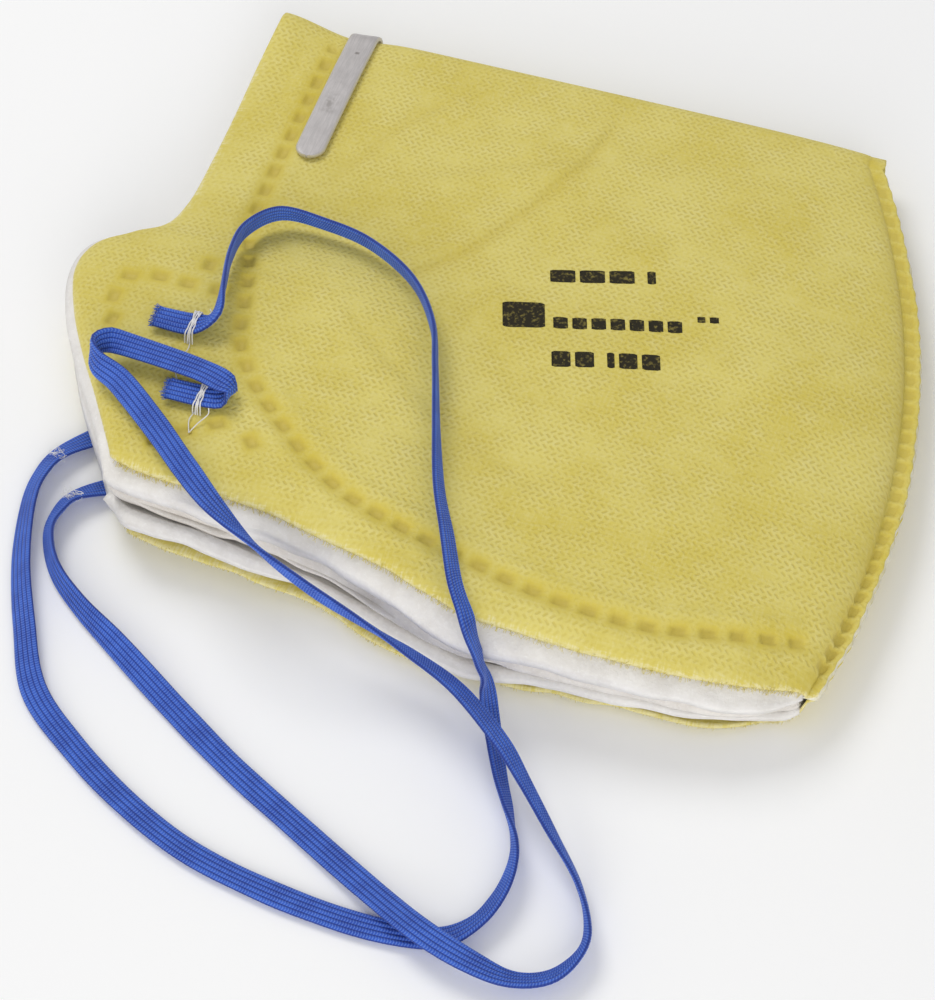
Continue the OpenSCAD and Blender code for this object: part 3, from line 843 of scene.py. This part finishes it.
for kind, half, count, drop, length in (("cover", 1, 1200, -0.5, 1.1), ("filter", 1, 700, -0.3, 0.9),
                                        ("filter", -1, 700, 0.1, 0.8), ("cover", -1, 1000, 0.1, 0.7)):
    line = chin_line[kind, half]
    piece = fibre_rim(f"{kind}_{HALF_NAME[half]}_fibres", line, (0.05, -0.9, drop), 80 + count + half,
                      LAYER_MATERIAL[kind], count, length, 0.45)
    seat(piece, HALF_BODY[half], LAYERS[kind]["slot"], *half_nodes(LAYER_NODES[kind], half))


# ------------ front weld
def weld_material():
    n = Nodes("welded_seam")
    solid = n.solid()
    cloud, fine = n.noise(solid, 380, 3.0), n.noise(solid, 2400, 3.0)
    colour = n.blend(n.step(cloud, 0.35, 0.7), linear(226, 218, 180), linear(238, 234, 216))
    colour = n.tint(colour, n.step(fine, 0.55, 0.7), 0.3, 214, 202, 140)
    return n.finish(Base_Color=colour, Roughness=0.7, Specular_IOR_Level=0.35,
                    Normal=n.bump(fine, 0.0002, 0.7))


def front_weld():
    v = np.linspace(0, 1, 260)
    edge = front(v)
    rim = 0.22 * noise(edge[:, 1], 0 * v, 6, 51) + 0.10 * np.cos(2 * math.pi * edge[:, 1] / FRONT_PITCH)
    t = np.linspace(0, 1, 9)
    x = edge[:, :1] + mix(-2.6, -0.55, t)[None] + (rim[:, None] * t[None] ** 2)
    y = np.broadcast_to(edge[:, 1:], x.shape)
    half = mix(0.95, 0.86, t)[None] + 0.03 * noise(x, y, 2.2, 52)
    top = np.stack([x, y, MID_Z + half], -1)
    low = np.stack([x, y, MID_Z - half], -1)
    return slab_piece("front_weld", top, low, weld_material(), butt_first_row=False)


seat(front_weld(), "mask_base", "welded_seam", "front_seam")


# ------------ nose strip and its tape
def metal_material():
    n = Nodes("strip_aluminium")
    across, along = n.add("SeparateXYZ", {0: n.flat()}).outputs[:2]
    solid = n.solid()
    brush = n.noise(solid, 900, 3.0, stretch=(6.0, 0.35, 0.35))
    dull = n.noise(solid, 170, 3.0)
    speck = n.noise(solid, 700, 2.0)
    # edge marks both rims of the strip, which get a painted highlight
    edge = n.step(n.math("ABSOLUTE", across), 0.86, 0.99)
    spot = n.times(n.step(n.math("ABSOLUTE", across), 0.75, 0.25),
                  n.step(n.math("ABSOLUTE", n.minus(along, 29.5)), 3.4, 1.0))
    dot = n.times(n.step(n.math("ABSOLUTE", n.minus(across, 0.1)), 0.2, 0.1),
                 n.step(n.math("ABSOLUTE", n.minus(along, 15.2)), 0.42, 0.2))
    colour = n.blend(n.step(brush, 0.35, 0.65), linear(186, 182, 181), linear(198, 193, 192))
    colour = n.tint(colour, n.step(dull, 0.45, 0.7), 0.4, 172, 167, 166)
    worn = n.times(spot, n.step(speck, 0.38, 0.62))
    colour = n.tint(colour, worn, 0.9, 160, 155, 152)
    colour = n.tint(colour, dot, 0.7, 120, 114, 108)
    # painted highlight along both rims of the strip
    colour = n.tint(colour, edge, 0.65, 216, 210, 190)
    rough = n.plus(0.42, n.times(speck, 0.25))
    return n.finish(Base_Color=colour, Roughness=rough, Metallic=0.35,
                    Normal=n.bump(brush, 0.00006, 0.6, under=n.bump(dull, 0.0004, 0.4)))


def tape_material():
    n = Nodes("tape_white")
    solid = n.solid()
    cloud, fine = n.noise(solid, 300, 3.0), n.noise(solid, 2600, 2.0)
    colour = n.blend(n.step(cloud, 0.3, 0.7), linear(232, 226, 196), linear(240, 236, 216))
    return n.finish(Base_Color=colour, Roughness=0.6, Normal=n.bump(fine, 0.0001, 0.6))


def nose_band(name, out, thick, width, arm, half, material):
    """Band folded over the ridge; half 1 is the upper arm with the bend, -1 the lower arm."""
    arm_v, tip_v = (arm - FOLD_R) / REACH_ARM, width / 2 / REACH_ARM
    tip = FOLD_S + (arm_v - tip_v * (1 - np.cos(np.linspace(math.pi / 2, 0, 14)))) * (1 - FOLD_S)
    body = np.linspace(FOLD_S, FOLD_S + (arm_v - tip_v) * (1 - FOLD_S), 30)
    bend = np.linspace(-FOLD_S, FOLD_S, 17)
    arm_rows = np.concatenate([body[:-1], tip[::-1]])
    s = np.sort(np.concatenate([bend[:-1], arm_rows])) if half > 0 else -arm_rows
    v = np.clip((np.abs(s) - FOLD_S) / (1 - FOLD_S), 0, 1)
    c = np.clip((v - arm_v + tip_v) / tip_v, 0, 1)
    half_width = width / 2 * np.sqrt(np.maximum(0.01, 1 - c**2))
    k = np.linspace(-1, 1, 13)
    U = (STRIP_X - NOSE_X + k[:, None] * half_width[None]) / (front(v)[:, 0] - NOSE_X)[None]
    S = np.broadcast_to(s, U.shape)
    crown = (1 - np.abs(k) ** 6 * 0.35)[:, None]
    sag = np.stack([0 * U, ridge_dip(sheet_point(U, S, 0)[..., 0], np.broadcast_to(v, U.shape)), 0 * U], -1)
    base = sheet_point(U, S, -out)
    dent = 0.10 * noise(base[..., 0], base[..., 1], 9, 61) if thick > 0.5 else 0.0
    top = sheet_point(U, S, -out - thick)
    top = top - (top - base) * (1 - crown)[..., None] * 0.5
    way = unit(sheet_point(U, S, -1.0) - sheet_point(U, S, 0.0))
    top, base = top + sag + way * np.asarray(dent)[..., None], base + sag + way * np.asarray(dent)[..., None]
    run = distance_along(base[6])
    uv = np.stack(np.broadcast_arrays(k[:, None], run[None]), -1)
    return slab_piece(name, top, base, material, uv, butt_first_row=True, round_by=0.35)


METAL, TAPE = metal_material(), tape_material()
for label, out, thick, width, arm, material, slot, nodes in (
        ("nose_strip", 0.44, 0.8, 5.0, 35.0, METAL, "strip_aluminium", ("nose_strip", "cheek_nose_strip")),
        ("strip_tape", 0.12, 0.2, 4.0, 34.5, TAPE, "tape_white", ("nose_strip_tape", "cheek_strip_tape"))):
    for half, name in HALF_NAME.items():
        piece = nose_band(f"{label}_{name}_arm", out, thick, width, arm, half, material)
        seat(piece, HALF_BODY[half], slot, *half_nodes(nodes, half))


# ------------ printed rows, plain blocks only
cover_mesh = upper_cover.data
cover_tree = BVHTree.FromPolygons([v.co for v in cover_mesh.vertices],
                                  [p.vertices[:] for p in cover_mesh.polygons])


def on_cover(x, y, above):
    """Height of the upper cover's outside at each place."""
    z = []
    for a, b in zip(np.ravel(x), np.ravel(y)):
        hit = cover_tree.ray_cast(Vector((a * MM, b * MM, 0.06)), Vector((0, 0, -1)))[0]
        z.append(hit.z / MM if hit else GAPE)
    return np.array(z).reshape(np.shape(x)) + above


def print_material():
    n = Nodes("print_ink")
    solid = n.solid()
    worn, fine = n.noise(solid, 1500, 3.0), n.noise(solid, 5000, 2.0)
    colour = n.blend(n.step(worn, 0.50, 0.74), linear(46, 42, 30), linear(132, 120, 62))
    return n.finish(Base_Color=colour, Roughness=0.85, Specular_IOR_Level=0.2,
                    Normal=n.bump(fine, 0.0001, 0.7))


def printed_block(ax, ay, length, height, turn=16.6):
    """Thin tile laid on the cover, from its lower left corner."""
    c, s = math.cos(math.radians(turn)), math.sin(math.radians(turn))
    p, q = np.meshgrid(np.linspace(0, length, max(4, int(length / 0.4))),
                       np.linspace(0, height, max(3, int(height / 0.4))), indexing="ij")
    round_off = 0.12 * ((p - length / 2) / (length / 2)) ** 8
    q = height / 2 + (q - height / 2) * (1 - round_off)
    x, y = ax + p * c - q * s, ay + p * s + q * c
    z = on_cover(x, y, 0.05)
    top, low = np.stack([x, y, z], -1), np.stack([x, y, z - 0.09], -1)
    m, n = x.shape
    i, j = rim_walk(m, n)
    a, b = i * n + j, m * n + i * n + j
    side = np.stack([a, b, np.roll(b, -1), np.roll(a, -1)], -1)
    return (np.concatenate([top.reshape(-1, 3), low.reshape(-1, 3)]),
            np.concatenate([grid_faces(m, n), grid_faces(m, n, start=m * n)[:, ::-1], side[:, ::-1]]))


blocks = []
across = np.array([0.958, 0.286])
for start, widths, height in (((6.2, 8.3), (4.2, 4.2, 4.2, 0, 1.4), 2.9),
                              ((1.6, -4.4), (7.0,), 5.8),
                              ((9.6, -2.0), (2.4,) * 7, 2.6),
                              ((31.8, 7.2), (1.3, 1.5), 1.3),
                              ((11.6, -10.2), (3.1, 3.1, 0, 1.2, 3.0, 3.0), 3.3)):
    at = np.array(start, float)
    for wide in widths:
        if wide == 0:
            at = at + across * 1.4
            continue
        blocks.append(printed_block(at[0], at[1], wide, height))
        at = at + across * (wide + 0.75)
piece = make_mesh("print_bars", *join(blocks), print_material())
seat(piece, None, "yellow_cover", "outer_cover", "cheek_cover")


# ------------ threads
def thread_material():
    n = Nodes("thread_white")
    solid = n.solid()
    twist, tone = n.noise(solid, 4200, 2.0), n.noise(solid, 800, 2.0)
    colour = n.blend(n.step(tone, 0.3, 0.7), linear(226, 224, 222), linear(242, 241, 240))
    return n.finish(Base_Color=colour, Roughness=0.7, Sheen_Weight=0.2, Normal=n.bump(twist, 0.0001, 0.8))


def strands(at, heading, profile, offsets, slants, radius=0.12):
    """Thread strands across a strap; profile gives sideways reach and height along one strand."""
    c, s = math.cos(math.radians(heading)), math.sin(math.radians(heading))
    parts = []
    for count, (off, slant) in enumerate(zip(offsets, slants)):
        side, z = spline(profile, np.linspace(0, 1, 40)).T
        ahead = off + slant * side / 2.4 + 0.05 * np.sin(side * 3 + count)
        z = z + 0.07 * (count % 3)
        x, y = at[0] + ahead * c - side * s, at[1] + ahead * s + side * c
        parts.append(tube(np.stack([x, y, z], -1), radius))
    return parts


def free_thread(points, radius=0.10, sides=7):
    return tube(spline(points, np.linspace(0, 1, 14 * len(points))), radius, sides)


def laid(points, above):
    """Points given flat, laid on the upper cover at the heights above it."""
    xy = np.array(points, float)
    return np.column_stack([xy, on_cover(xy[:, 0], xy[:, 1], 0) + np.array(above)])


THREAD = thread_material()


def over_strap(at, top):
    """Sideways reach and height of a strand from the cover, over a strap and back."""
    roots = [(side, on_cover([at[0]], [at[1] + side], -0.5)[0]) for side in (-3.0, 3.0)]
    return [roots[0], (-2.6, top - 0.55), (-2.1, top + 0.1), (-1, top + 0.14), (0, top + 0.15),
            (1, top + 0.14), (2.1, top + 0.1), (2.6, top - 0.55), roots[1]]


stitch_at = {1: ((-46.4, -20), 20.6), 2: ((-40.2, -33.8), 20.9)}
tails = {
    1: [laid([(-46.3, -22.7), (-46.0, -24.6), (-46.8, -27.0), (-46.4, -29.4), (-45.4, -31.2)],
             [0.1, 0.5, 0.35, 0.3, 0.25]),
        laid([(-45.9, -17.4), (-44.9, -16.2), (-45.4, -15.2)], [0.1, 0.6, 0.3])],
    2: [laid([(-40.7, -36.4), (-40.9, -38.4), (-40.3, -40.4)], [0.1, 0.4, 0.25]),
        laid([(-40.3, -40.4), (-39.3, -38.8), (-38.2, -36.9), (-38.4, -35.8)], [0.25, 0.5, 0.9, 1.2])]}
for number, (at, top) in stitch_at.items():
    parts = strands(at, 0, over_strap(at, top), (-0.45, -0.25, -0.05, 0.15, 0.35),
                    (0.2, -0.35, 0.1, 0.4, -0.15))
    parts += [free_thread(line) for line in tails[number]]
    piece = make_mesh(f"stitch_{number}_upper_threads", *join(parts), THREAD)
    seat(piece, "upper_cheek", "thread_white", f"upper_strap_{number}_stitch")

under = [(-3.0, 3.3), (-2.6, 1.9), (-2.35, 1.1), (-1.7, 0.5), (0, 0.42), (1.7, 0.5), (2.35, 1.1), (2.6, 1.9),
         (3.0, 3.3)]
curls = {1: (-64.6, -39.5, 2.0), 2: (-59.2, -46.8, 2.1)}
for number, at, heading in ((1, (-49, -20.8), 48), (2, (-42, -34.5), 34)):
    parts = strands(at, heading, under, (-0.6, -0.2, 0.2, 0.6), (0.2, -0.3, 0.25, -0.1), 0.12)
    cx, cy, cz = curls[number]
    luck = np.random.RandomState(90 + number)
    for _ in range(5):
        knots = np.array([cx, cy, cz + 0.9]) + luck.uniform(-1, 1, (6, 3)) * [1.9, 1.3, 0.5]
        parts.append(free_thread(knots, 0.04, 5))
    piece = make_mesh(f"stitch_{number}_lower_threads", *join(parts), THREAD)
    seat(piece, "mask_base", "thread_white", f"lower_strap_{number}_stitch")


# ------------ floor and light
floor_mesh = bpy.data.meshes.new("floor")
FLOOR_HALF, FLOOR_Z = 3, -0.0001
floor_corners = [(x * FLOOR_HALF, y * FLOOR_HALF, FLOOR_Z) for x, y in ((-1, -1), (1, -1), (1, 1), (-1, 1))]
floor_mesh.from_pydata(floor_corners, [], [(0, 1, 2, 3)])
floor = bpy.data.objects.new("floor", floor_mesh)
floor_mesh.materials.append(Nodes("floor_white").finish(Base_Color=linear(254, 254, 254), Roughness=0.9))
scene.collection.objects.link(floor)

world = bpy.data.worlds.new("studio")
scene.world = world
world.use_nodes = True
world.node_tree.nodes["Background"].inputs[0].default_value = (1.0, 1.0, 1.0, 1)
world.node_tree.nodes["Background"].inputs[1].default_value = 0.48


def area_light(name, at, aim, size, power):
    data = bpy.data.lights.new(name, "AREA")
    data.shape = "DISK"
    data.size = size
    data.energy = power
    lamp = bpy.data.objects.new(name, data)
    lamp.location = at
    lamp.rotation_euler = (Vector(aim) - Vector(at)).to_track_quat("-Z", "Y").to_euler()
    scene.collection.objects.link(lamp)


area_light("key", (-0.45, 0.35, 0.75), (0, -0.02, 0), 0.5, 3.1)
area_light("fill", (0.35, -0.75, 0.55), (0, -0.02, 0), 0.6, 2.3)
area_light("front", (0.05, -0.85, 0.22), (0, -0.05, 0.005), 0.4, 1.7)
scene.view_settings.view_transform = "Standard"
